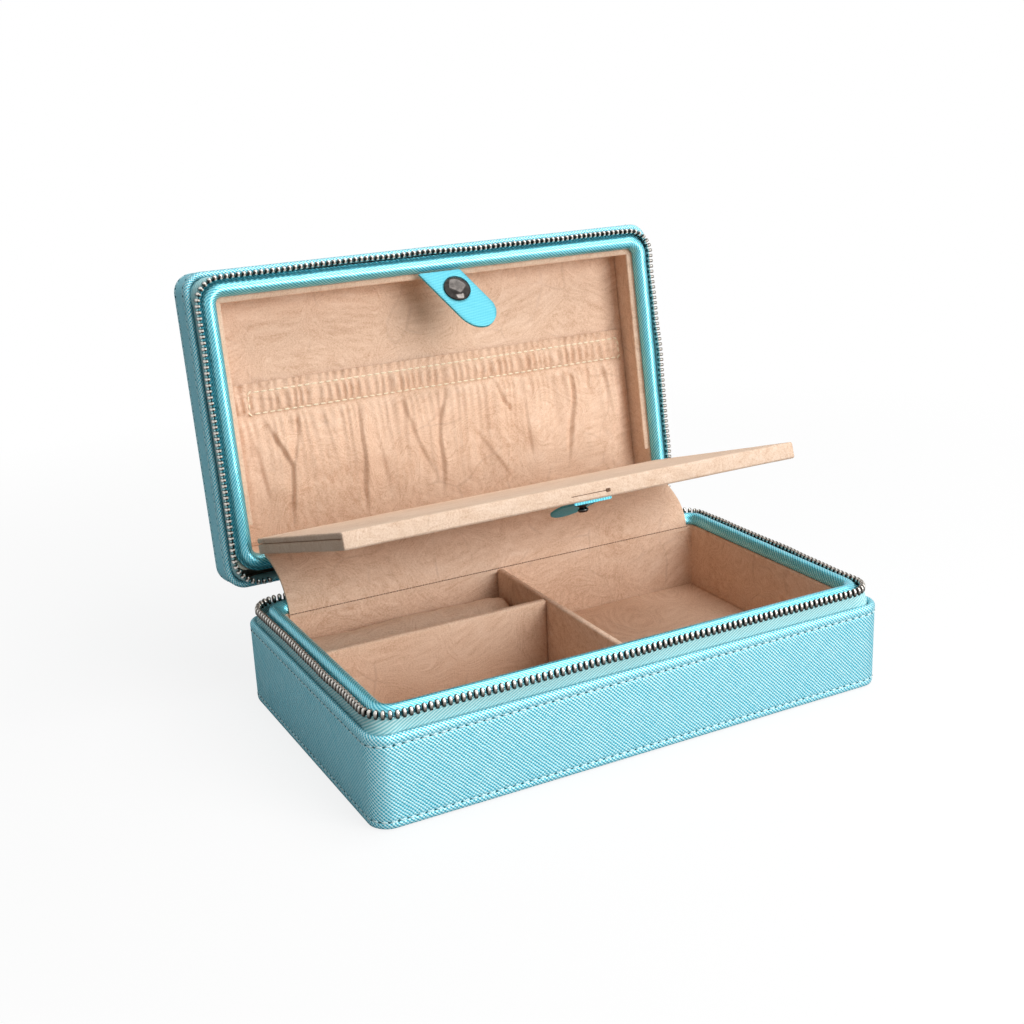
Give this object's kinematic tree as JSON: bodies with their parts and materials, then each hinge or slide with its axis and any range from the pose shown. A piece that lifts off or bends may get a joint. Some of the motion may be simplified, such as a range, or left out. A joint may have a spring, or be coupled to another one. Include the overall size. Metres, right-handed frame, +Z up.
{
  "type": "jewelry box",
  "caption": "Zip-round travel jewelry case with a hinged padded lid, elastic pocket, snap strap, cover flap, dividers and ring rolls.",
  "frame": {"origin": "middle of the base's underside", "axes": "+X to the right along the length, -Y to the front, +Z up"},
  "size_m": [0.195, 0.165, 0.1502],
  "materials": {
    "leatherette": "satin",
    "suede": "matte",
    "greyboard": "matte",
    "foam": "matte",
    "zip_tape": "matte",
    "zip_metal": "polished",
    "snap_metal": "polished"
  },
  "bodies": {
    "base": {"base_cover_bottom": "leatherette", "base_cover_side": "leatherette", "base_floor_pad": "suede", "base_lining_wall": "suede", "base_plate_board": "greyboard", "base_rim_roll": "leatherette", "base_shell_board": "greyboard", "base_wall_foam": "foam", "base_zip_tape": "zip_tape", "base_zip_teeth": "zip_metal", "cross_divider": "suede", "hinge_lining": "suede", "hinge_spine": "leatherette", "long_divider": "suede", "ring_roll_back": "suede", "ring_roll_front": "suede", "zip_end_stop": "zip_metal", "zip_slider": "zip_metal"},
    "lid": {"lid_cover_side": "leatherette", "lid_cover_top": "leatherette", "lid_lining_panel": "suede", "lid_lining_wall": "suede", "lid_plate_board": "greyboard", "lid_rim_roll": "leatherette", "lid_shell_board": "greyboard", "lid_snap_cap": "snap_metal", "lid_snap_socket": "snap_metal", "lid_strap": "leatherette", "lid_wall_foam": "foam", "lid_zip_tape": "zip_tape", "lid_zip_teeth": "zip_metal", "pocket_band": "suede", "pocket_sheet": "suede"},
    "flap": {"flap_lower_board": "suede", "flap_snap_stud": "snap_metal", "flap_tab": "leatherette", "flap_upper_board": "suede"},
    "zip_pull": {"zip_pull_ring": "zip_metal", "zip_pull_tab": "leatherette"}
  },
  "joints": [
    {"name": "lid_hinge", "type": "hinge", "parent": "base", "child": "lid", "pos_m": [0, 0.062, 0.0333], "axis": [1, 0, 0], "range_deg": [0, 98.6], "deforming": ["hinge_lining", "hinge_spine", "lid_strap", "lid_snap_cap", "lid_snap_socket"]},
    {"name": "flap_hinge", "type": "hinge", "parent": "lid", "child": "flap", "pos_m": [0, 0.06737, 0.04973], "axis": [1, 0, 0], "range_deg": [-81.5, 0]},
    {"name": "pull_swing", "type": "hinge", "parent": "base", "child": "zip_pull", "pos_m": [0.077, 0.0598, 0.0378], "axis": [1, 0, 0], "range_deg": [0, 50]}
  ],
  "couplings": [
    {"joint": "flap_hinge", "follows": "lid_hinge", "ratio": -0.82657}
  ]
}
